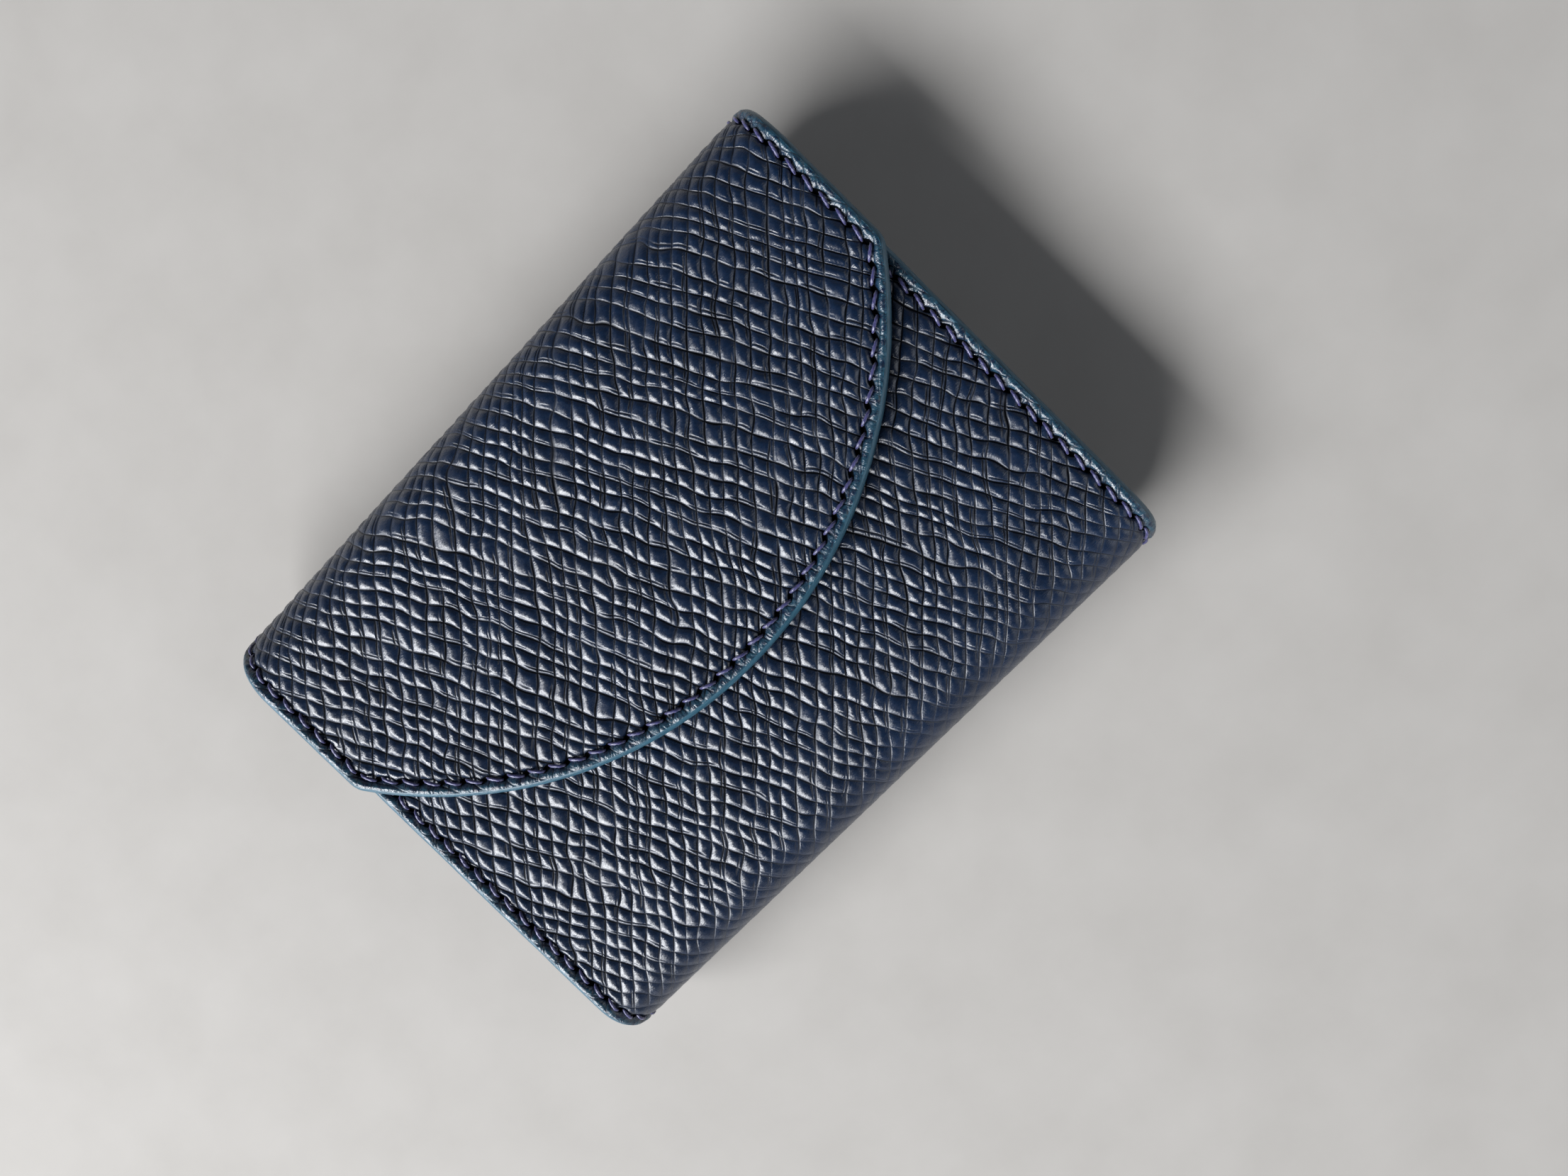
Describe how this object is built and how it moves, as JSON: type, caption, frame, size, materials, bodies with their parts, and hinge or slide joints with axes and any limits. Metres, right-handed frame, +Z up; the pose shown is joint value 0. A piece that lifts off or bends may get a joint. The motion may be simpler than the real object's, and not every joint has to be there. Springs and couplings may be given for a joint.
{
  "type": "flap wallet",
  "caption": "Compact leather wallet with a curved flap over a gusseted pocket, a divider, card pockets and a hidden magnetic catch.",
  "frame": {"origin": "on the surface it lies on, below the middle of the closed wallet", "axes": "+X along the width, +Y towards the top fold, +Z up through the closed flap"},
  "size_m": [0.1046, 0.0802, 0.0174],
  "materials": {
    "outer_leather": "embossed hatch grain, satin",
    "lining_leather": "smooth, matte",
    "gusset_leather": "smooth, matte",
    "edge_paint": "burnished edge paint",
    "thread": "waxed thread",
    "magnet": "plated",
    "backing_board": "pressed board"
  },
  "bodies": {
    "front": {"front_outer": "outer_leather", "front_lining": "lining_leather", "front_edge_coat": "edge_paint", "front_magnet": "magnet", "front_seam_left": "thread", "front_seam_right": "thread", "mouth_seam": "thread", "gusset_front_left": "gusset_leather", "gusset_front_right": "gusset_leather"},
    "bottom_fold": {"bottom_fold_outer": "outer_leather", "bottom_fold_lining": "lining_leather", "bottom_fold_edge_coat": "edge_paint", "bottom_fold_seam_left": "thread", "bottom_fold_seam_right": "thread", "gusset_middle_left": "gusset_leather", "gusset_middle_right": "gusset_leather", "divider_panel": "lining_leather", "divider_seam": "thread"},
    "back": {"back_outer": "outer_leather", "back_lining": "lining_leather", "back_edge_coat": "edge_paint", "back_seam_left": "thread", "back_seam_right": "thread", "gusset_back_left": "gusset_leather", "gusset_back_right": "gusset_leather", "card_pocket_deep": "lining_leather", "card_pocket_shallow": "lining_leather", "card_pocket_seam_deep": "thread", "card_pocket_seam_shallow": "thread"},
    "top_fold": {"top_fold_outer": "outer_leather", "top_fold_lining": "lining_leather", "top_fold_edge_coat": "edge_paint", "top_fold_seam_left": "thread", "top_fold_seam_right": "thread"},
    "flap": {"flap_outer": "outer_leather", "flap_lining": "lining_leather", "flap_edge_coat": "edge_paint", "flap_magnet": "magnet", "flap_magnet_backing": "backing_board", "flap_seam": "thread"}
  },
  "joints": [
    {"name": "flap_swing", "type": "hinge", "parent": "back", "child": "top_fold", "pos_m": [0, 0.03823, 0.00187], "axis": [-1, 0, 0], "range_deg": [0, 90]},
    {"name": "flap_upper_swing", "type": "hinge", "parent": "top_fold", "child": "flap", "pos_m": [0, 0.03823, 0.01558], "axis": [-1, 0, 0], "range_deg": [0, 90]},
    {"name": "mouth_lower_swing", "type": "hinge", "parent": "back", "child": "bottom_fold", "pos_m": [0, -0.0379, 0.0022], "axis": [1, 0, 0], "range_deg": [0, 7]},
    {"name": "mouth_upper_swing", "type": "hinge", "parent": "bottom_fold", "child": "front", "pos_m": [0, -0.0379, 0.0128], "axis": [1, 0, 0], "range_deg": [0, 7]}
  ],
  "couplings": [
    {"joint": "flap_upper_swing", "follows": "flap_swing", "ratio": 1},
    {"joint": "mouth_lower_swing", "follows": "flap_swing", "ratio": 0.077777},
    {"joint": "mouth_upper_swing", "follows": "flap_swing", "ratio": 0.077777}
  ]
}
